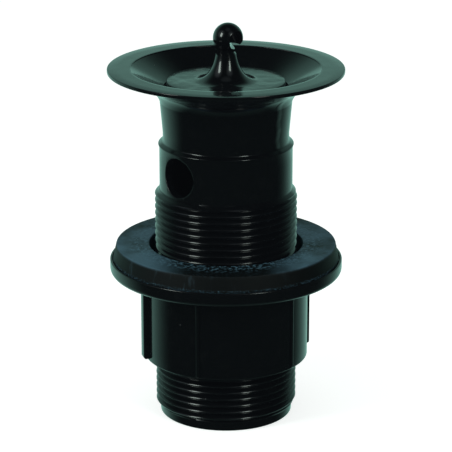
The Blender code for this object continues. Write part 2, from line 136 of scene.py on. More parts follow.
class DrainStopper(bpy.types.PropertyGroup):
    disc_thick: length("Disc thickness", 0.002, "Thickness of the disc")
    skirt_radius: length("Skirt", 0.0177, "Outer radius of the skirt at its top")
    skirt_end: length("Skirt end", 0.0169, "Outer radius of the skirt's lower end")
    skirt_wall: length("Skirt wall", 0.0018, "Thickness of the skirt")
    trumpet_base: length("Trumpet base", 0.0110, "Radius where the stem's foot meets the disc")
    trumpet_top: length("Trumpet top", 0.0034, "Radius of the stem's sharp upper edge")
    trumpet_height: length("Trumpet height", 0.0088, "Height of the stem's foot")
    hollow_radius: length("Hollow", 0.0086, "Radius of the hollow under the stem")
    hollow_height: length("Hollow height", 0.0044, "Height of the hollow under the stem")
    stem_radius: length("Stem", 0.0033, "Radius of the short stem under the ball")
    ball_radius: length("Ball", 0.005, "Radius of the hooked ball")
    ball_shift: length("Ball shift", 0.00065, "How far the ball stands off the axis, to its hook's tip")
    stem_shift: length("Stem shift", 0.00045, "How far the stem stands off the axis, the other way")
    hook_turn: turn("Hook turn", 46.4, "Turn of the hook's slot about the drain's axis")


class DrainWasher(bpy.types.PropertyGroup):
    bore: length("Bore", 0.0259, "Inner radius of the washer")
    taper: length("Taper", 0.0011, "How far the side leans in towards the top")
    straight: length("Straight side", 0.001, "Height of the side inside the collar's lip")
    edge: length("Edge", 0.0005, "Rounding of the outer upper edge")


class DrainCoupler(bpy.types.PropertyGroup):
    outlet_bore: length("Outlet bore", 0.0199, "Inner radius of the outlet")
    spigot: length("Spigot", 0.0028, "Plain length below the outlet's thread")
    spigot_round: length("Spigot rounding", 0.0006, "Rounding of the outlet's end")
    thread_length: length("Outlet thread", 0.0175, "Length of the outlet's thread")
    floor_thick: length("Floor", 0.0031, "Thickness of the step between barrel and outlet")
    barrel_radius: length("Barrel", 0.0277, "Radius of the barrel")
    barrel_height: length("Barrel height", 0.0296, "Height of the barrel")
    barrel_fillet: length("Barrel fillet", 0.0012, "Fillet between barrel and collar")
    collar_thick: length("Collar thickness", 0.0038, "From the collar's underside to the washer's seat")
    collar_round: length("Collar rounding", 0.0018, "Rounding of the collar's lower edge")
    lip_height: length("Lip height", 0.001, "Height of the lip round the washer")
    lip_thick: length("Lip thickness", 0.0008, "Thickness of the lip")
    wing_reach: length("Wing reach", 0.0018, "How far a wing stands off the barrel")
    wing_thick: length("Wing thickness", 0.004, "Thickness of a wing")
    wing_end_gap: length("Wing end", 0.0009, "From the barrel's lower end up to a wing's")
    ridge_reach: length("Ridge reach", 0.0006, "How far a ridge stands off the barrel")
    ridge_width: length("Ridge width", 0.0014, "Width of a ridge")
    ridge_spread: turn("Ridge spread", 36.0, "From the middle between the wings to a ridge")
    wing_turn: turn("Wing turn", -27.3, "From the front port to the nearer wing")


class DrainFinish(bpy.types.PropertyGroup):
    plastic: colour("Plastic", (0.0020, 0.0023, 0.0028), "Black of the mouldings")
    plastic_dust: colour("Dust", (0.16, 0.17, 0.17), "Dust and bloom on the mouldings")
    # Painted glow: the plastic gives off this faint light itself, to lift its blacks.
    haze: colour("Haze", (0.0016, 0.0020, 0.0025), "Faint veil that lifts the plastic's blacks")
    plastic_roughness: share("Plastic roughness", 0.13, "Roughness of the clean moulding")
    parting_turn: turn("Parting line", 4.5, "Turn of the parting line about the body's axis")
    parting_step: length("Parting step", 0.00022, "Height of the step at the parting line")
    rubber: colour("Rubber", (0.0024, 0.0038, 0.0050), "Grey of the clamping washer")
    # Talc and painted sheen: the washer's talc, and the sheen painted on both sides of its top.
    talc: colour("Talc", (0.075, 0.155, 0.215), "Talc on the clamping washer")
    # Painted sheen: turns the sheen patches and the brighter runs to the camera's left and right.
    talc_turn: turn("Talc turn", 46.4, "Turn of the talc's pattern about the washer's axis")
    seal: colour("Seal", (0.008, 0.0085, 0.009), "Black of the stopper's seal")


class DrainStage(bpy.types.PropertyGroup):
    floor: colour("Floor", (0.85, 0.85, 0.85), "Colour of the floor")
    camera_azimuth: turn("Camera azimuth", 46.4, "From the front port to the camera")
    camera_elevation: turn("Camera elevation", 17.71, "Height of the camera above the horizon")
    camera_distance: length("Camera distance", 0.829, "From the camera to the point it looks at")
    camera_height: length("Aim height", 0.0654, "Height of the point that the camera looks at")
    lens: bpy.props.FloatProperty(name="Lens", description="Focal length in mm", default=195.8)
    floor_glow: share("Floor glow", 0.66, "Light that the floor gives to the camera alone")
    soft_light: share("Soft light", 0.42, "Even light from all round on rough surfaces")
    back_wall: share("Back wall", 0.33, "White of the wall behind, in reflections")
    left_wall: share("Left wall", 0.40, "White that the left of that wall has besides")
    table: share("Table", 0.10, "White of the table below, in reflections")


def arc(centre, radii, start, end, steps):
    """Points on an ellipse's arc, from one angle to the other in degrees, both ends included."""
    turns = [math.radians(start + (end - start) * i / steps) for i in range(steps + 1)]
    return [(centre[0] + radii[0] * math.cos(t), centre[1] + radii[1] * math.sin(t)) for t in turns]


def corner(before, point, after, radius, steps=4):
    """The points that round off one corner of a profile."""
    p, a, b = Vector(point), Vector(before), Vector(after)
    to_a, to_b = (a - p).normalized(), (b - p).normalized()
    half = to_a.angle(to_b) / 2
    centre = p + (to_a + to_b).normalized() * radius / math.sin(half)
    first = p + to_a * radius / math.tan(half) - centre
    last = p + to_b * radius / math.tan(half) - centre
    sweep = first.angle_signed(last)
    points = []
    for i in range(steps + 1):
        spoke = Matrix.Rotation(-sweep * i / steps, 2) @ first
        points.append(tuple(centre + spoke))
    return points


def rounded(points, steps=4):
    """An open profile of (radius, height) points. A point's third value rounds its corner off."""
    places = [point[:2] for point in points]
    out = []
    for i, point in enumerate(points):
        if len(point) == 3:
            out += corner(places[i - 1], places[i], places[i + 1], point[2], steps)
        else:
            out.append(point)
    return out


def split_long(points, longest):
    """The same profile with no straight run longer than longest."""
    out = [points[0]]
    for a, b in zip(points, points[1:]):
        count = max(1, math.ceil(math.dist(a, b) / longest))
        out += [tuple(Vector(a).lerp(b, (i + 1) / count)) for i in range(count)]
    return out


def curve(start, pull, end, steps):
    """Points on a curve from start to end that leaves both along the lines to pull."""
    points = []
    for i in range(steps + 1):
        t = i / steps
        weights = ((1 - t) ** 2, 2 * t * (1 - t), t**2)
        points.append(
            tuple(sum(w * p[k] for w, p in zip(weights, (start, pull, end))) for k in (0, 1))
        )
    return points


def spin_profile(bm, points, sides=SIDES, rise=0.0):
    """Turns an open profile of (radius, height) points about Z. It climbs by rise in the turn."""
    verts = [bm.verts.new((r, 0, z)) for r, z in points]
    edges = [bm.edges.new(pair) for pair in zip(verts, verts[1:])]
    bmesh.ops.spin(
        bm,
        geom=verts + edges,
        cent=(0, 0, 0),
        axis=(0, 0, 1),
        dvec=(0, 0, rise / sides),
        angle=math.tau,
        steps=sides,
        use_merge=rise == 0.0,
    )


def ease(t):
    """Goes smoothly from 0 to 1 while t does."""
    t = max(0.0, min(1.0, t))
    return t * t * (3 - 2 * t)


def add_thread(bm, thread, low, high, top_end):
    """A right-handed rounded thread between two heights. It narrows to its root below and to the
    radius top_end above, each end a plain ring of vertices for the next surface to join."""
    root, crest, pitch = thread.root(), thread.crest, thread.pitch
    chamfer = crest - root
    steps = 10
    half = steps // 2
    ridge = []
    for i in range(steps + 1):
        lift = abs((i % steps) - half) / half
        swell = (0.5 + 0.5 * math.cos(math.pi * lift)) ** THREAD_FULLNESS
        ridge.append((root + (crest - root) * swell, low - 1.5 * pitch + pitch * i / steps))
    before = set(bm.verts)
    spin_profile(bm, ridge, rise=pitch)
    one_turn = [v for v in bm.verts if v not in before]
    faces = list(dict.fromkeys(f for v in one_turn for f in v.link_faces))
    for i in range(1, math.ceil((high - low) / pitch) + 3):
        copied = bmesh.ops.duplicate(bm, geom=one_turn + faces)["geom"]
        copied = [item for item in copied if isinstance(item, bmesh.types.BMVert)]
        bmesh.ops.translate(bm, vec=(0, 0, pitch * i), verts=copied)
    made = [v for v in bm.verts if v not in before]
    for vert in made:
        radius = math.hypot(vert.co.x, vert.co.y)
        height = max(low, min(high, vert.co.z))
        low_limit = root + (crest - root) * min(1.0, (height - low) / chamfer)
        high_limit = top_end + (crest - top_end) * min(1.0, (high - height) / chamfer)
        limit = min(low_limit, high_limit)
        wanted = limit if height != vert.co.z else min(radius, limit)
        vert.co.x *= wanted / radius
        vert.co.y *= wanted / radius
        vert.co.z = height
    bmesh.ops.remove_doubles(bm, verts=made, dist=MERGE)


def soften(bm, edges, offset, segments):
    """Rounds edges and gives back the vertices that this makes."""
    bevelled = bmesh.ops.bevel(
        bm,
        geom=edges,
        offset=offset,
        segments=segments,
        profile=0.5,
        affect="EDGES",
        material=-1,
    )
    return bevelled["verts"]


def write_mesh(bm, mesh):
    """Moves the bmesh into the mesh, smooth except at its sharp edges."""
    bm.to_mesh(mesh)
    bm.free()
    mesh.shade_smooth()
    mesh.set_sharp_from_angle(angle=SMOOTH_ANGLE)


def new_piece(name, build):
    """An object at the origin whose mesh is what build makes of an empty bmesh."""
    bm = bmesh.new()
    build(bm)
    bmesh.ops.remove_doubles(bm, verts=bm.verts, dist=MERGE)
    bmesh.ops.dissolve_degenerate(bm, edges=bm.edges, dist=MERGE)
    bmesh.ops.recalc_face_normals(bm, faces=bm.faces)
    mesh = bpy.data.meshes.new(name)
    write_mesh(bm, mesh)
    piece = bpy.data.objects.new(name, mesh)
    bpy.context.scene.collection.objects.link(piece)
    return piece


def settle(piece):
    """Applies the piece's modifiers to its mesh."""
    bpy.context.view_layer.update()
    evaluated = piece.evaluated_get(bpy.context.evaluated_depsgraph_get())
    mesh = bpy.data.meshes.new_from_object(evaluated)
    piece.modifiers.clear()
    piece.data = mesh


def cut(piece, cutter):
    """Cuts the cutter's shape out of the piece and removes the cutter."""
    modifier = piece.modifiers.new("Cut", "BOOLEAN")
    modifier.operation = "DIFFERENCE"
    modifier.solver = "EXACT"
    modifier.object = cutter
    settle(piece)
    bpy.data.objects.remove(cutter)


def dress(piece, node, body, material):
    """Gives a piece its material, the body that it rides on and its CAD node."""
    piece.data.materials.clear()
    piece.data.materials.append(material)
    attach(piece, body)
    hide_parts(node)


class NodeMaker:
    """Places shader nodes one after another and links them."""

    def __init__(self, tree):
        self.tree = tree
        self.count = 0

    def add(self, kind, settings=None, **inputs):
        """A new node. An input's name has _ for each space."""
        node = self.tree.nodes.new(kind)
        node.location = (220 * (self.count % 8), -260 * (self.count // 8))
        self.count += 1
        for key, value in (settings or {}).items():
            setattr(node, key, value)
        for key, value in inputs.items():
            self.feed(node, key.replace("_", " "), value)
        return node

    def feed(self, node, socket, value):
        """Links a socket to a node's input, or sets the input's value. A digit is its index."""
        target = node.inputs[int(socket)] if socket.isdigit() else node.inputs[socket]
        if isinstance(value, bpy.types.NodeSocket):
            self.tree.links.new(value, target)
        else:
            target.default_value = value

    def math(self, operation, first, second=0.0, third=0.0):
        node = self.add("ShaderNodeMath", {"operation": operation})
        for index, value in enumerate((first, second, third)):
            self.feed(node, str(index), value)
        return node.outputs[0]

    def product(self, first, *others):
        for value in others:
            first = self.math("MULTIPLY", first, value)
        return first

    def ramp(self, value, low, high, to_low=0.0, to_high=1.0):
        """Eases value from its low to its high into the range to_low to to_high."""
        node = self.add("ShaderNodeMapRange", {"interpolation_type": "SMOOTHSTEP"})
        for index, item in enumerate((value, low, high, to_low, to_high)):
            self.feed(node, str(index), item)
        return node.outputs[0]

    def noise(self, vector, scale, detail=3.0, roughness=0.55):
        settings = {"Vector": vector, "Scale": scale, "Detail": detail, "Roughness": roughness}
        return self.add("ShaderNodeTexNoise", **settings).outputs["Fac"]

    def stretched(self, vector, scale):
        """The vector, scaled along each axis by its own share."""
        node = self.add("ShaderNodeVectorMath", {"operation": "MULTIPLY"})
        self.feed(node, "0", vector)
        self.feed(node, "1", scale)
        return node.outputs[0]

    def turned(self, vector, angle):
        """The vector, turned about Z."""
        kind = {"rotation_type": "Z_AXIS"}
        return self.add("ShaderNodeVectorRotate", kind, Vector=vector, Angle=angle).outputs[0]

    def along(self, vector, axis):
        """The part of the vector along one axis, X, Y or Z."""
        return self.add("ShaderNodeSeparateXYZ", Vector=vector).outputs[axis]

    def mix(self, factor, first, second):
        """A colour between two, each a socket or three numbers."""
        node = self.add("ShaderNodeMix", {"data_type": "RGBA"})
        self.feed(node, "Factor", factor)
        for name, value in (("A", first), ("B", second)):
            target = [s for s in node.inputs if s.name == name and s.type == "RGBA"][0]
            if isinstance(value, bpy.types.NodeSocket):
                self.tree.links.new(value, target)
            else:
                target.default_value = (*value, 1.0)
        return node.outputs["Result"]

    def relief(self, shader, height):
        """Lets a height in metres bend the shader's normals."""
        bump = self.add("ShaderNodeBump", Strength=1.0, Distance=1.0, Height=height)
        self.feed(shader, "Normal", bump.outputs["Normal"])


def new_group(name, inputs, outputs):
    """A node group with float inputs and outputs, the maker that fills it and its end nodes."""
    group = bpy.data.node_groups.new(name, "ShaderNodeTree")
    kind = "NodeSocketFloat"
    for label, default in inputs:
        socket = group.interface.new_socket(name=label, in_out="INPUT", socket_type=kind)
        socket.default_value = default
    for label in outputs:
        group.interface.new_socket(name=label, in_out="OUTPUT", socket_type=kind)
    maker = NodeMaker(group)
    return group, maker, maker.add("NodeGroupInput"), maker.add("NodeGroupOutput")


def moulding_group():
    """Surface of a polished mould: slow waves, fine grain, hair scratches, dust and a parting line
    that runs down the neck, from under the bell to the bead."""
    name = "Moulded surface"
    if name in bpy.data.node_groups:
        return bpy.data.node_groups[name]
    inputs = [
        ("Roughness", 0.17),
        ("Dust", 0.25),
        ("Waves", 0.04 * MM),
        ("Parting Turn", 0.0),
        ("Parting Step", 0.0),
    ]
    group, m, enter, leave = new_group(name, inputs, ["Roughness", "Dust Mask", "Height"])
    place = m.add("ShaderNodeTexCoord").outputs["Object"]
    slow = m.noise(place, 90.0, 2.0)
    grain = m.noise(place, 2600.0, 2.0)
    cloud = m.noise(place, 260.0, 4.0, 0.6)
    hair_a = m.noise(m.stretched(place, (900.0, 2600.0, 90.0)), 1.0, 2.0, 0.7)
    hair_b = m.noise(m.stretched(place, (120.0, 240.0, 3200.0)), 1.0, 2.0, 0.7)
    scratches = m.math("MAXIMUM", m.ramp(hair_a, 0.68, 0.80), m.ramp(hair_b, 0.69, 0.80))
    cells = m.add("ShaderNodeTexVoronoi", {"feature": "F1"}, Vector=place, Scale=420.0)
    size = m.ramp(m.noise(place, 700.0, 1.0), 0.55, 0.85, 0.0, 0.13)
    specks = m.ramp(m.math("SUBTRACT", size, cells.outputs["Distance"]), 0.0, 0.03)
    bloom = m.product(m.ramp(cloud, 0.52, 0.85), 0.06)
    dust = m.math("MAXIMUM", bloom, m.product(scratches, 0.2))
    dust = m.product(dust, enter.outputs["Dust"])
    dust = m.math("MAXIMUM", dust, m.product(specks, 0.8))
    rough = m.math("SUBTRACT", enter.outputs["Roughness"], 0.04)
    rough = m.math("MULTIPLY_ADD", cloud, 0.08, rough)
    rough = m.math("MULTIPLY_ADD", scratches, 0.10, rough)
    rough = m.math("MULTIPLY_ADD", dust, 0.6, rough)

    neck_foot, neck_top = 96.0 * MM, 112.0 * MM
    back = m.product(enter.outputs["Parting Turn"], -1.0)
    across = m.along(m.turned(place, back), "Y")
    wander = m.noise(m.stretched(place, (0.0, 0.0, 1.0)), 150.0, 2.0)
    across = m.math("ADD", across, m.ramp(wander, 0.3, 0.7, -0.7 * MM, 0.7 * MM))
    height = m.along(place, "Z")
    line = m.product(
        m.ramp(across, -0.25 * MM, 0.15 * MM),
        m.ramp(across, 0.4 * MM, 3.5 * MM, 1.0, 0.0),
        m.ramp(height, neck_foot - 0.5 * MM, neck_foot + 0.5 * MM),
        m.ramp(height, neck_top - 2 * MM, neck_top + 2 * MM, 1.0, 0.0),
        enter.outputs["Parting Step"],
    )

    relief = m.product(slow, enter.outputs["Waves"])
    relief = m.math("MULTIPLY_ADD", grain, 0.0012 * MM, relief)
    relief = m.math("MULTIPLY_ADD", scratches, -0.004 * MM, relief)
    relief = m.math("MULTIPLY_ADD", specks, 0.02 * MM, relief)
    m.feed(leave, "Roughness", rough)
    m.feed(leave, "Dust Mask", dust)
    m.feed(leave, "Height", m.math("ADD", line, relief))
    return group


def new_material(name):
    """A material with a shader alone, and the maker that places its other nodes."""
    material = bpy.data.materials.new(name)
    material.use_nodes = True
    material.node_tree.nodes.clear()
    m = NodeMaker(material.node_tree)
    shader = m.add("ShaderNodeBsdfPrincipled")
    m.add("ShaderNodeOutputMaterial", Surface=shader.outputs["BSDF"])
    return material, m, shader


def moulded_plastic(name, dust, waves, parting_line=False):
    """Glossy black plastic with a faint painted glow. waves is the depth of its sink marks."""
    finish = bpy.context.scene.drain_finish
    material, m, shader = new_material(name)
    surface = m.add(
        "ShaderNodeGroup",
        {"node_tree": moulding_group()},
        Roughness=finish.plastic_roughness,
        Dust=dust,
        Waves=waves,
        Parting_Turn=finish.parting_turn,
        Parting_Step=finish.parting_step if parting_line else 0.0,
    )
    tint = m.mix(surface.outputs["Dust Mask"], finish.plastic, finish.plastic_dust)
    m.feed(shader, "Base Color", tint)
    m.feed(shader, "Roughness", surface.outputs["Roughness"])
    m.feed(shader, "IOR", 1.5)
    # Painted glow: a faint emission of the painted glow colour lifts the plastic's blacks.
    m.feed(shader, "Emission Color", (*finish.haze, 1.0))
    m.feed(shader, "Emission Strength", 1.0)
    m.relief(shader, surface.outputs["Height"])
    return material


def talced_rubber():
    """Matte grey rubber. Its talc lies in speckles round the bore, in faint runs down the side and in
    crumbs above the lip. Painted sheen lies in patches on both sides of the top, as the camera sees
    it, and the runs are painted brighter on the camera's left."""
    finish = bpy.context.scene.drain_finish
    material, m, shader = new_material("washer_rubber")
    place = m.add("ShaderNodeTexCoord").outputs["Object"]
    height = m.along(place, "Z")
    radius = m.add("ShaderNodeVectorMath", {"operation": "LENGTH"})
    m.feed(radius, "0", m.stretched(place, (1.0, 1.0, 0.0)))
    radius = radius.outputs["Value"]
    across = m.along(m.turned(place, -finish.talc_turn), "X")
    cloud = m.noise(place, 70.0, 4.0, 0.6)
    mottle = m.noise(place, 820.0, 4.0, 0.7)
    grain = m.noise(place, 3200.0, 2.0, 0.6)
    streaks = m.noise(m.stretched(place, (420.0, 420.0, 30.0)), 1.0, 3.0, 0.6)

    near_bore = m.ramp(radius, 27.5 * MM, 34.5 * MM, 1.0, 0.0)
    speckles = m.math("MULTIPLY_ADD", near_bore, 0.95, 0.06)
    speckles = m.product(m.ramp(mottle, 0.50, 0.60), speckles)
    # Painted sheen: patches on the top to the camera's left and right, where the top catches the bright
    # wall behind.
    painted_sheen = m.ramp(m.math("ABSOLUTE", across), 12 * MM, 27 * MM)
    painted_sheen = m.product(m.ramp(cloud, 0.24, 0.60), painted_sheen)
    side = m.ramp(radius, 36.8 * MM, 37.2 * MM)
    talc = m.math("MULTIPLY_ADD", painted_sheen, 0.85, speckles)
    talc = m.product(talc, m.math("SUBTRACT", 1.0, side))
    # Talc runs down the side, painted brighter on the camera's left where the light falls.
    runs_and_left_sheen = m.product(m.ramp(streaks, 0.56, 0.72), m.ramp(across, 5 * MM, -20 * MM, 0.02, 0.16))
    talc = m.math("MULTIPLY_ADD", runs_and_left_sheen, side, talc)
    above_lip = WASHER_LOW.z + 1.6 * MM
    crumbs = m.product(m.ramp(grain, 0.56, 0.64), m.ramp(height, above_lip, above_lip - 0.5 * MM))
    talc = m.math("MAXIMUM", talc, m.product(crumbs, m.product(side, 0.9)))

    relief = m.product(mottle, 0.03 * MM)
    relief = m.math("MULTIPLY_ADD", grain, 0.012 * MM, relief)
    relief = m.math("MULTIPLY_ADD", cloud, 0.1 * MM, relief)
    m.feed(shader, "Base Color", m.mix(talc, finish.rubber, finish.talc))
    m.feed(shader, "Roughness", m.math("MULTIPLY_ADD", cloud, 0.15, 0.52))
    m.feed(shader, "Specular IOR Level", 0.22)
    m.relief(shader, relief)
    return material


def black_rubber():
    """Soft black rubber of the stopper's seal."""
    finish = bpy.context.scene.drain_finish
    material, m, shader = new_material("seal_rubber")
    place = m.add("ShaderNodeTexCoord").outputs["Object"]
    cloud = m.noise(place, 300.0, 4.0, 0.6)
    grain = m.noise(place, 3000.0, 2.0, 0.6)
    worn = [2 * part for part in finish.seal]
    m.feed(shader, "Base Color", m.mix(cloud, finish.seal, worn))
    m.feed(shader, "Roughness", m.math("MULTIPLY_ADD", cloud, 0.2, 0.45))
    m.relief(shader, m.product(grain, 0.01 * MM))
    return material


def floor_white():
    """Pale floor. It looks as white as the background, and still takes the drain's shadow."""
    stage = bpy.context.scene.drain_stage
    material, m, shader = new_material("studio_floor")
    seen = m.add("ShaderNodeLightPath").outputs["Is Camera Ray"]
    m.feed(shader, "Base Color", (*stage.floor, 1.0))
    m.feed(shader, "Roughness", 0.9)
    m.feed(shader, "Specular IOR Level", 0.0)
    m.feed(shader, "Emission Color", (1.0, 1.0, 1.0, 1.0))
    m.feed(shader, "Emission Strength", m.product(seen, stage.floor_glow))
    return material


class PieceOperator:
    """What all the operators share"""

    bl_options = {"REGISTER", "UNDO"}


class DRAIN_OT_drain_body(PieceOperator, bpy.types.Operator):
    """Builds the drain's body: tail with its thread, ports, bead, neck, bell, bowl and strainer"""

    bl_idname = "drain.drain_body"
    bl_label = "Drain Body"

    def execute(self, context):
        body = context.scene.drain_body
        thread = context.scene.drain_thread
        piece = new_piece("body_moulding", lambda bm: self.shell(bm, body, thread))
        self.open_ports(piece, body, thread)
        strainer = new_piece("strainer", lambda bm: self.strainer(bm, body))
        plastic = moulded_plastic("body_plastic", dust=0.22, waves=0.04 * MM, parting_line=True)
        dress(piece, "drain_body", "drain_body", plastic)
        dress(strainer, "drain_body", "drain_body", plastic)
        return {"FINISHED"}

    def seat_top(self, body):
        """Height of the ledge that the seal closes on."""
        return BODY_HIGH.z - body.bowl_depth - body.seat_depth

    def shell(self, bm, body, thread):
        """The turned moulding, from its tail's end round by the rim and back down the bore."""
        tail_end = BODY_LOW.z
        thread_top = tail_end + body.tail_length
        add_thread(bm, thread, tail_end, thread_top, body.band_radius)
        spin_profile(bm, split_long(self.outside(body, thread_top), 4 * MM))
        spin_profile(bm, split_long(self.inside(body, thread, tail_end), 4 * MM))

    def outside(self, body, thread_top):
        """From the thread up the band, over the bead and the neck, and out under the bell to the
        rim's top. The bell's underside runs along its cone, one wall's thickness below it."""
        bead_bottom = thread_top + body.band_height
        neck_bottom = bead_bottom + body.bead_height
        bead_out = body.band_radius + body.bead_reach
        slope = math.atan2(body.bowl_depth, body.bowl_mouth - body.pocket_mouth)
        rim_top = BODY_HIGH.z
        rim_under = rim_top - body.rim_thick
        under_r = body.pocket_mouth + body.bowl_wall * math.sin(slope)
        under_z = rim_top - body.bowl_depth - body.bowl_wall * math.cos(slope)
        centre_r = body.neck_top_radius + body.flare_round * math.cos(body.bell_crease)
        drop = math.sin(slope) * (centre_r - under_r) - body.flare_round
        centre_z = under_z + drop / math.cos(slope)
        flare = arc(
            (centre_r, centre_z),
            (body.flare_round, body.flare_round),
            180 - math.degrees(body.bell_crease),
            90 + math.degrees(slope),
            10,
        )
        meet_r = under_r + (rim_under - under_z) / math.tan(slope)
        bead = [
            (body.band_radius, thread_top),
            (body.band_radius, bead_bottom),
            (bead_out, bead_bottom + 0.43 * body.bead_height, 0.3 * MM),
            (body.neck_radius, bead_bottom + 0.72 * body.bead_height, 0.6 * MM),
            (body.neck_radius, neck_bottom + body.neck_straight),
        ]
        rim = [
            flare[-1],
            (meet_r, rim_under, 4 * MM),
            (BODY_HIGH.x, rim_under, 0.4 * MM),
            (BODY_HIGH.x, rim_top, 0.25 * MM),
            (body.bowl_mouth + 0.8 * MM, rim_top),
        ]
        return [
            *rounded(bead, 6),
            *corner(bead[-1], flare[0], flare[1], 0.6 * MM),
            *flare[1:-1],
            *rounded(rim, 5),
        ]

    def inside(self, body, thread, tail_end):
        """From the rim's top down the bowl, the pocket, the seat and the bore to the tail's end."""
        rim_top = BODY_HIGH.z
        seat_top = self.seat_top(body)
        bowl_bottom = rim_top - body.bowl_depth
        bore_step = seat_top - body.strainer_drop - body.strainer_depth - 0.3 * MM
        points = [
            (body.bowl_mouth + 0.8 * MM, rim_top),
            (body.bowl_mouth, rim_top, 0.08 * MM),
            (body.bowl_mouth, rim_top - body.bowl_step),
            (body.pocket_mouth, bowl_bottom, 0.4 * MM),
            (body.seat_radius + 0.3 * MM, bowl_bottom - 0.9 * MM, 0.3 * MM),
            (body.seat_radius, seat_top),
            (body.waste_bore, seat_top, 0.4 * MM),
            (body.waste_bore, bore_step),
            (body.tail_bore, bore_step - (body.tail_bore - body.waste_bore)),
            (body.tail_bore, tail_end, 0.3 * MM),
            (thread.root(), tail_end),
        ]
        return rounded(points)

    def open_ports(self, piece, body, thread):
        """Drills both ports in one go through the band, and rounds their outer mouths."""
        height = BODY_LOW.z + body.tail_length + body.band_height / 2 + body.port_above_middle
        place = Matrix.Translation((0, 0, height)) @ Matrix.Rotation(math.pi / 2, 4, "X")

        def cylinder(bm):
            bmesh.ops.create_cone(
                bm,
                cap_ends=True,
                segments=72,
                radius1=body.port_radius,
                radius2=body.port_radius,
                depth=2.4 * thread.crest,
                matrix=place,
            )

        cut(piece, new_piece("port_cutter", cylinder))
        bm = bmesh.new()
        bm.from_mesh(piece.data)
        mouths = []
        for edge in bm.edges:
            reach = [math.hypot(v.co.x, v.co.z - height) for v in edge.verts]
            out = [math.hypot(v.co.x, v.co.y) for v in edge.verts]
            on_port = all(abs(r - body.port_radius) < 0.05 * MM for r in reach)
            if on_port and all(abs(r - body.band_radius) < 0.1 * MM for r in out):
                mouths.append(edge)
        soften(bm, mouths, body.port_edge, 3)
        write_mesh(bm, piece.data)

    def strainer(self, bm, body):
        """Three bars across the bore, thinner below, and a hub where they cross."""
        bars = 3
        lower_width = 0.6
        top = self.seat_top(body) - body.strainer_drop
        middle = top - body.strainer_depth / 2
        size = (2 * body.waste_bore + 2 * MM, body.strainer_bar, body.strainer_depth)
        for i in range(bars):
            made = bmesh.ops.create_cube(bm, size=1.0)["verts"]
            bmesh.ops.scale(bm, vec=size, verts=made)
            for vert in made:
                if vert.co.z < 0:
                    vert.co.y *= lower_width
            bmesh.ops.translate(bm, vec=(0, 0, middle), verts=made)
            edges = [e for e in bm.edges if e.verts[0] in made]
            long = [e for e in edges if abs(e.verts[0].co.x - e.verts[1].co.x) > body.waste_bore]
            softened = soften(bm, long, 0.4 * MM, 3)
            verts = list({v for v in made if v.is_valid} | set(softened))
            spun = Matrix.Rotation(math.pi / 2 + math.pi * i / bars, 3, "Z")
            bmesh.ops.rotate(bm, cent=(0, 0, 0), matrix=spun, verts=verts)
        low = top - body.strainer_depth - 0.3 * MM
        hub = [
            (0, low),
            (0.6 * body.strainer_hub, low, 0.4 * MM),
            (body.strainer_hub, top + 0.3 * MM, 0.5 * MM),
            (0, top + 0.3 * MM),
        ]
        spin_profile(bm, rounded(hub), 48)


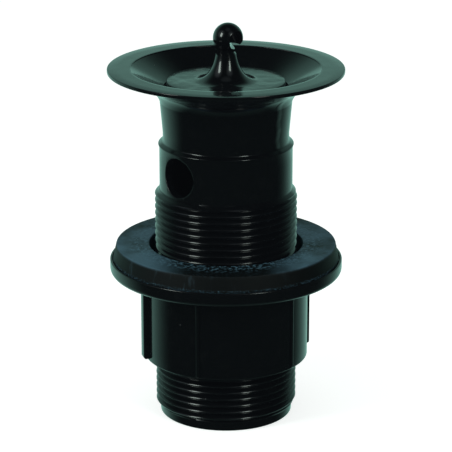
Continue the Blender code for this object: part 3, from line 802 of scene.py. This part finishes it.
class DRAIN_OT_stopper(PieceOperator, bpy.types.Operator):
    """Builds the stopper: disc, skirt, trumpet and hooked ball"""

    bl_idname = "drain.stopper"
    bl_label = "Stopper"

    def execute(self, context):
        sizes = context.scene.drain_stopper
        piece = new_piece("stopper_moulding", lambda bm: self.disc(bm, sizes))
        ball = self.hooked_ball(sizes)
        plastic = moulded_plastic("stopper_plastic", dust=0.16, waves=0.25 * MM)
        dress(piece, "stopper", "stopper", plastic)
        dress(ball, "stopper", "stopper", plastic)
        return {"FINISHED"}

    def heights(self, sizes):
        """Top of the ball's stem, top of the trumpet, top and underside of the disc."""
        drop = math.sqrt(sizes.ball_radius**2 - sizes.stem_radius**2)
        centre = STOPPER_HIGH.z - sizes.ball_radius
        disc_under = SEAL_HIGH.z + SEAL_GAP
        disc_top = disc_under + sizes.disc_thick
        return centre - drop, disc_top + sizes.trumpet_height, disc_top, disc_under

    def sideways(self, sizes, height):
        """How far the stem and ball stand off the axis at a height, towards the hook's tip."""
        stem_top, trumpet_top, _, _ = self.heights(sizes)
        foot = ease((height - trumpet_top) / (1 * MM))
        rise = ease((height - stem_top) / (0.6 * sizes.ball_radius))
        return sizes.ball_shift * rise - sizes.stem_shift * foot * (1 - rise)

    def lean(self, bm, sizes):
        """Moves each ring of the stem and ball sideways by what its height asks for."""
        towards_tip = Matrix.Rotation(sizes.hook_turn, 3, "Z").col[0]
        for vert in bm.verts:
            vert.co += towards_tip * self.sideways(sizes, vert.co.z)

    def disc(self, bm, sizes):
        """The turned part: the foot of the stem, the disc, the seal's groove, the skirt and the
        hollow under the stem."""
        _, trumpet_top, disc_top, disc_under = self.heights(sizes)
        groove = 16.6 * MM
        groove_bottom = SEAL_LOW.z - SEAL_GAP
        hollow_top = disc_under + sizes.hollow_height
        rim = STOPPER_HIGH.x
        skirt_inner = sizes.skirt_end - sizes.skirt_wall
        foot = curve(
            (sizes.trumpet_top, trumpet_top),
            (sizes.trumpet_top + 1.7 * MM, disc_top),
            (sizes.trumpet_base, disc_top),
            28,
        )
        disc = [
            (sizes.trumpet_base + 2 * MM, disc_top),
            (rim, disc_top, 0.45 * MM),
            (rim, disc_under, 0.4 * MM),
            (groove, disc_under),
            (groove, groove_bottom),
            (sizes.skirt_radius, groove_bottom, 0.2 * MM),
            (sizes.skirt_end, STOPPER_LOW.z, 0.4 * MM),
            (skirt_inner, STOPPER_LOW.z, 0.4 * MM),
            (skirt_inner, disc_under, 0.8 * MM),
            (sizes.hollow_radius + 1 * MM, disc_under),
        ]
        hollow = curve(
            (sizes.hollow_radius, disc_under),
            (sizes.trumpet_top, disc_under),
            (0.5 * sizes.trumpet_top, hollow_top),
            10,
        )
        points = [(0, trumpet_top), *foot, *rounded(disc), *hollow, (0, hollow_top)]
        spin_profile(bm, split_long(points, 3 * MM), 144)

    def hooked_ball(self, sizes):
        """The ball and its stem, cut by the hook, then softened the way a moulding is."""
        stem_top, trumpet_top, _, _ = self.heights(sizes)
        centre = STOPPER_HIGH.z - sizes.ball_radius
        angle = -math.degrees(math.acos(sizes.stem_radius / sizes.ball_radius))
        foot = trumpet_top - 1 * MM

        def ball(bm):
            profile = arc((0, centre), (sizes.ball_radius, sizes.ball_radius), 90, angle, 40)
            rings = 12
            rise = (stem_top - foot) / rings
            stem = [(sizes.stem_radius, foot + rise * i) for i in range(rings - 1, -1, -1)]
            spin_profile(bm, [*profile, *stem, (0, foot)], 96)
            self.lean(bm, sizes)

        piece = new_piece("hooked_ball", ball)
        place = Matrix.Rotation(sizes.hook_turn, 4, "Z")
        place = place @ Matrix.Translation((sizes.ball_shift, 0, centre))
        floor = trumpet_top - centre
        cut(piece, new_piece("hook_mouths", lambda bm: self.mouths(bm, sizes, place)))
        cut(piece, new_piece("hook_slot", lambda bm: self.slot(bm, sizes, place, floor)))
        remesh = piece.modifiers.new("Soften", "REMESH")
        remesh.mode = "VOXEL"
        remesh.voxel_size = 0.09 * MM
        remesh.use_smooth_shade = True
        smooth = piece.modifiers.new("Round", "SMOOTH")
        smooth.factor = 0.5
        smooth.iterations = 4
        settle(piece)
        piece.data.shade_smooth()
        return piece

    def mouths(self, bm, sizes, place):
        """Both mouths of the hook as one skin through five rings: narrow at the eye in the middle
        of the ball, wide outside."""
        outside = sizes.ball_radius + 1 * MM
        inside = 1.6 * MM
        mouth = (3.0 * MM, 0.05 * MM, 2.6 * MM)
        eye = (3.0 * MM, -2.45 * MM, 0.2 * MM)
        sections = [
            (-outside, *mouth),
            (-inside, *mouth),
            (0.0, *eye),
            (inside, *mouth),
            (outside, *mouth),
        ]
        sides = 48
        for depth, out, up, radius in sections:
            lay = Matrix.Translation((out, depth, up)) @ Matrix.Rotation(math.pi / 2, 4, "X")
            bmesh.ops.create_circle(bm, segments=sides, radius=radius, matrix=lay)
        rings = [list(bm.edges)[i * sides : (i + 1) * sides] for i in range(len(sections))]
        for near, far in zip(rings, rings[1:]):
            bmesh.ops.bridge_loops(bm, edges=near + far)
        for end in (rings[0], rings[-1]):
            bmesh.ops.contextual_create(bm, geom=end)
        bmesh.ops.transform(bm, matrix=place, verts=bm.verts)

    def slot(self, bm, sizes, place, floor):
        """The slot from the eye down and out of the ball. floor is the stem's foot, measured from
        the ball's centre."""
        outside = sizes.ball_radius + 1 * MM
        outline = [
            (0.55 * MM, -1.3 * MM),
            (2.65 * MM, -1.9 * MM),
            (outside, -2.9 * MM),
            (outside, floor + 0.3 * MM),
            (2.6 * MM, floor + 0.3 * MM),
            (2.3 * MM, -3.7 * MM),
            (1.15 * MM, -2.9 * MM),
        ]
        face = bm.faces.new([bm.verts.new((x, -outside, z)) for x, z in outline])
        moved = bmesh.ops.extrude_face_region(bm, geom=[face])["geom"]
        far = [item for item in moved if isinstance(item, bmesh.types.BMVert)]
        bmesh.ops.translate(bm, vec=(0, 2 * outside, 0), verts=far)
        bmesh.ops.transform(bm, matrix=place, verts=bm.verts)


class DRAIN_OT_stopper_seal(PieceOperator, bpy.types.Operator):
    """Builds the rubber ring under the stopper's disc"""

    bl_idname = "drain.stopper_seal"
    bl_label = "Stopper Seal"

    def execute(self, context):
        bore = 16.9 * MM
        low, high, outer = SEAL_LOW.z, SEAL_HIGH.z, SEAL_HIGH.x
        points = [
            (bore + 1 * MM, low),
            (outer, low, 0.6 * MM),
            (outer, high, 0.25 * MM),
            (bore, high, 0.2 * MM),
            (bore, low, 0.2 * MM),
            (bore + 1 * MM, low),
        ]
        piece = new_piece("seal_ring", lambda bm: spin_profile(bm, rounded(points), 144))
        dress(piece, "stopper_seal", "stopper", black_rubber())
        return {"FINISHED"}


class DRAIN_OT_clamping_washer(PieceOperator, bpy.types.Operator):
    """Builds the thick rubber washer in the coupler's collar"""

    bl_idname = "drain.clamping_washer"
    bl_label = "Clamping Washer"

    def execute(self, context):
        sizes = context.scene.drain_washer
        low, high, outer = WASHER_LOW.z, WASHER_HIGH.z, WASHER_HIGH.x
        points = [
            (sizes.bore + 2 * MM, low),
            (outer, low, 0.4 * MM),
            (outer, low + sizes.straight, 1.0 * MM),
            (outer - sizes.taper, high, sizes.edge),
            (sizes.bore, high, 0.35 * MM),
            (sizes.bore, low, 0.3 * MM),
            (sizes.bore + 2 * MM, low),
        ]
        profile = split_long(rounded(points, 5), 1.5 * MM)
        piece = new_piece("washer_ring", lambda bm: spin_profile(bm, profile))
        dress(piece, "clamping_washer", "washer", talced_rubber())
        return {"FINISHED"}


class DRAIN_OT_outlet_coupler(PieceOperator, bpy.types.Operator):
    """Builds the outlet coupler: collar, barrel with wings and ridges, outlet thread and spigot"""

    bl_idname = "drain.outlet_coupler"
    bl_label = "Outlet Coupler"

    def execute(self, context):
        sizes = context.scene.drain_coupler
        thread = context.scene.drain_thread
        piece = new_piece("coupler_moulding", lambda bm: self.shell(bm, sizes, thread))
        plastic = moulded_plastic("coupler_plastic", dust=0.25, waves=0.05 * MM)
        dress(piece, "outlet_coupler", "coupler", plastic)
        return {"FINISHED"}

    def shell(self, bm, sizes, thread):
        """From the outlet's thread up the barrel and collar, over the lip, and down the inside."""
        barrel_bottom = sizes.spigot + sizes.thread_length
        collar_bottom = barrel_bottom + sizes.barrel_height
        seat = collar_bottom + sizes.collar_thick
        lip_top = seat + sizes.lip_height
        root = thread.root()
        add_thread(bm, thread, sizes.spigot, barrel_bottom, root)
        bore = thread.crest + 0.3 * MM
        collar = COUPLER_HIGH.x
        lip = collar - sizes.lip_thick
        shoulder = barrel_bottom + sizes.floor_thick
        barrel = sizes.barrel_radius
        points = [
            (root, barrel_bottom),
            (barrel, barrel_bottom, 0.5 * MM),
            (barrel, collar_bottom, sizes.barrel_fillet),
            (collar, collar_bottom, sizes.collar_round),
            (collar, lip_top, 0.3 * MM),
            (lip, lip_top, 0.2 * MM),
            (lip, seat, 0.2 * MM),
            (bore, seat, 1.0 * MM),
            (bore, shoulder, 0.5 * MM),
            (sizes.outlet_bore, shoulder, 0.4 * MM),
            (sizes.outlet_bore, 0, 0.4 * MM),
            (root, 0, sizes.spigot_round),
            (root, sizes.spigot),
        ]
        spin_profile(bm, split_long(rounded(points, 6), 4 * MM))
        self.grips(bm, sizes, barrel_bottom, collar_bottom)

    def grips(self, bm, sizes, bottom, top):
        """Two opposite wings, and four low ridges between them."""
        wing = (sizes.wing_reach, sizes.wing_thick, bottom + sizes.wing_end_gap, 0.7 * MM)
        ridge = (sizes.ridge_reach, sizes.ridge_width, bottom + 0.5 * MM, 0.5 * MM)
        for side in (0, math.pi):
            turned = sizes.wing_turn - math.pi / 2 + side
            self.grip(bm, sizes, top, turned, *wing)
            for spread in (-sizes.ridge_spread, sizes.ridge_spread):
                self.grip(bm, sizes, top, turned + math.pi / 2 + spread, *ridge)

    def grip(self, bm, sizes, top, turned, reach, width, bottom, rounding):
        """A bar on the barrel, let into it and into the collar, with its free edges rounded."""
        sunk = 1.5 * MM
        root = sizes.barrel_radius - sunk
        tip = sizes.barrel_radius + reach
        made = bmesh.ops.create_cube(bm, size=1.0)["verts"]
        bmesh.ops.scale(bm, vec=(tip - root, width, top + sunk - bottom), verts=made)
        middle = ((root + tip) / 2, 0, (bottom + top + sunk) / 2)
        bmesh.ops.translate(bm, vec=middle, verts=made)
        outer = {v for v in made if v.co.x > middle[0]}
        free = []
        for edge in bm.edges:
            if outer.issuperset(edge.verts):
                level = abs(edge.verts[0].co.z - edge.verts[1].co.z) < width / 2
                if not level or edge.verts[0].co.z < middle[2]:
                    free.append(edge)
        softened = soften(bm, free, rounding, 4)
        verts = list({v for v in made if v.is_valid} | set(softened))
        bmesh.ops.rotate(bm, cent=(0, 0, 0), matrix=Matrix.Rotation(turned, 3, "Z"), verts=verts)


class DRAIN_OT_stage(PieceOperator, bpy.types.Operator):
    """Sets the floor, the studio light and the camera"""

    bl_idname = "drain.stage"
    bl_label = "Stage"

    def execute(self, context):
        stage = context.scene.drain_stage
        context.scene.view_settings.view_transform = "Standard"
        floor = new_piece(
            "floor", lambda bm: bmesh.ops.create_grid(bm, x_segments=1, y_segments=1, size=3.0)
        )
        floor.data.materials.append(floor_white())
        floor.visible_glossy = False
        towards = Matrix.Rotation(stage.camera_azimuth, 3, "Z") @ Vector((0, -1, 0))
        aim = Vector((0, 0, stage.camera_height))
        self.world(context, stage, towards)
        self.camera(context, stage, aim, towards)
        left = {"azimuth": -58.0, "elevation": 30.0, "width": 0.19, "radiance": 8.5}
        right = {"azimuth": 34.5, "elevation": 29.0, "width": 0.16, "radiance": 8.0}
        self.softbox("softbox_left", aim, towards, **left)
        self.softbox("softbox_right", aim, towards, **right)
        return {"FINISHED"}

    def aimed(self, towards, azimuth, elevation):
        """A direction, in degrees to the right of the camera's side and above the horizon."""
        flat = Matrix.Rotation(math.radians(azimuth), 3, "Z") @ towards
        rise = math.radians(elevation)
        return flat * math.cos(rise) + Vector((0, 0, math.sin(rise)))

    def facing(self, m, direction, axis):
        """How far a ray's direction agrees with an axis, from -1 to 1."""
        node = m.add("ShaderNodeVectorMath", {"operation": "DOT_PRODUCT"})
        m.feed(node, "0", direction)
        m.feed(node, "1", tuple(axis))
        return node.outputs["Value"]

    def camera(self, context, stage, aim, towards):
        data = bpy.data.cameras.new("photo_camera")
        data.lens = stage.lens
        data.sensor_width = 36.0
        camera = bpy.data.objects.new("photo_camera", data)
        context.scene.collection.objects.link(camera)
        flat = math.cos(stage.camera_elevation)
        direction = Vector((*(towards * flat).xy, math.sin(stage.camera_elevation)))
        camera.location = aim + direction * stage.camera_distance
        camera.rotation_euler = direction.to_track_quat("Z", "Y").to_euler()
        context.scene.camera = camera

    def softbox(self, name, aim, towards, azimuth, elevation, width, radiance):
        """A tall lamp that faces the drain. Its azimuth is in degrees to the right of the camera's
        side, and its elevation above the horizon."""
        distance = 0.8
        data = bpy.data.lights.new(name, "AREA")
        data.shape = "RECTANGLE"
        data.size = width
        data.size_y = 1.9 * width
        data.color = (0.86, 1.0, 0.92)
        data.energy = radiance * math.pi * data.size * data.size_y
        lamp = bpy.data.objects.new(name, data)
        bpy.context.scene.collection.objects.link(lamp)
        direction = self.aimed(towards, azimuth, elevation)
        lamp.location = aim + direction * distance
        lamp.rotation_euler = direction.to_track_quat("Z", "Y").to_euler()

    def world(self, context, stage, towards):
        """White to the camera, and an even pale light to rough surfaces. Glossy ones see a studio:
        a pale wall behind the drain, brightest low down and on the left, dark above and on the
        camera's side, a faint table straight below, and cool glows overhead and at both lamps."""
        world = bpy.data.worlds.new("studio")
        context.scene.world = world
        world.use_nodes = True
        world.node_tree.nodes.clear()
        m = NodeMaker(world.node_tree)
        direction = m.add("ShaderNodeTexCoord").outputs["Generated"]
        height = m.along(direction, "Z")
        back = self.facing(m, direction, self.aimed(towards, -175.0, 0.0))
        back_left = self.facing(m, direction, self.aimed(towards, -165.0, 0.0))
        walls = m.math(
            "ADD",
            m.ramp(back, 0.05, 0.75, 0.02, stage.back_wall),
            m.ramp(back_left, 0.12, 0.93, 0.0, stage.left_wall),
        )
        walls = m.product(
            walls, m.ramp(height, 0.17, 0.29, 1.0, 0.53), m.ramp(height, 0.42, 0.80, 1.0, 0.06)
        )
        level = m.math("MAXIMUM", walls, m.ramp(height, -0.60, -0.98, 0.0, stage.table))
        cool = 0.0
        for azimuth, elevation, edge, core, strength in (
            (0.0, 76.0, 0.93, 0.995, 0.15),
            (-66.0, 30.0, 0.86, 0.99, 0.45),
            (30.0, 36.0, 0.90, 0.99, 0.30),
        ):
            glow = self.facing(m, direction, self.aimed(towards, azimuth, elevation))
            cool = m.math("ADD", cool, m.ramp(glow, edge, core, 0.0, strength))
        tint = m.mix(level, (0.0, 0.0, 0.0), (0.50, 1.0, 0.86))
        tint = m.mix(cool, tint, (0.80, 0.95, 1.0))
        path = m.add("ShaderNodeLightPath").outputs
        soft_colour = (0.92, 1.0, 0.98, 1.0)
        soft = m.add("ShaderNodeBackground", Color=soft_colour, Strength=stage.soft_light)
        studio = m.add("ShaderNodeBackground", Color=tint, Strength=1.0)
        white = m.add("ShaderNodeBackground", Color=(1.0, 1.0, 1.0, 1.0), Strength=1.0)
        surface = soft
        for ray, background in (("Is Glossy Ray", studio), ("Is Camera Ray", white)):
            chosen = m.add("ShaderNodeMixShader")
            m.feed(chosen, "0", path[ray])
            m.feed(chosen, "1", surface.outputs[0])
            m.feed(chosen, "2", background.outputs[0])
            surface = chosen
        m.add("ShaderNodeOutputWorld", Surface=surface.outputs[0])


class DRAIN_PT_panel(bpy.types.Panel):
    """Lists the drain's operators"""

    bl_idname = "DRAIN_PT_panel"
    bl_label = "Sink Drain"
    bl_space_type = "VIEW_3D"
    bl_region_type = "UI"
    bl_category = "Sink Drain"

    def draw(self, context):
        for operator in OPERATORS:
            self.layout.operator(operator.bl_idname)


GROUPS = {
    "drain_thread": DrainThread,
    "drain_body": DrainBody,
    "drain_stopper": DrainStopper,
    "drain_washer": DrainWasher,
    "drain_coupler": DrainCoupler,
    "drain_finish": DrainFinish,
    "drain_stage": DrainStage,
}
OPERATORS = (
    DRAIN_OT_drain_body,
    DRAIN_OT_stopper,
    DRAIN_OT_stopper_seal,
    DRAIN_OT_clamping_washer,
    DRAIN_OT_outlet_coupler,
    DRAIN_OT_stage,
)


def register():
    for name, group in GROUPS.items():
        bpy.utils.register_class(group)
        setattr(bpy.types.Scene, name, bpy.props.PointerProperty(type=group))
    for operator in OPERATORS:
        bpy.utils.register_class(operator)
    bpy.utils.register_class(DRAIN_PT_panel)


def unregister():
    bpy.utils.unregister_class(DRAIN_PT_panel)
    for operator in reversed(OPERATORS):
        bpy.utils.unregister_class(operator)
    for name, group in reversed(GROUPS.items()):
        delattr(bpy.types.Scene, name)
        bpy.utils.unregister_class(group)


def main():
    register()
    bpy.ops.drain.drain_body()
    bpy.ops.drain.stopper()
    bpy.ops.drain.stopper_seal()
    bpy.ops.drain.clamping_washer()
    bpy.ops.drain.outlet_coupler()
    bpy.ops.drain.stage()


if __name__ == "__main__":
    main()
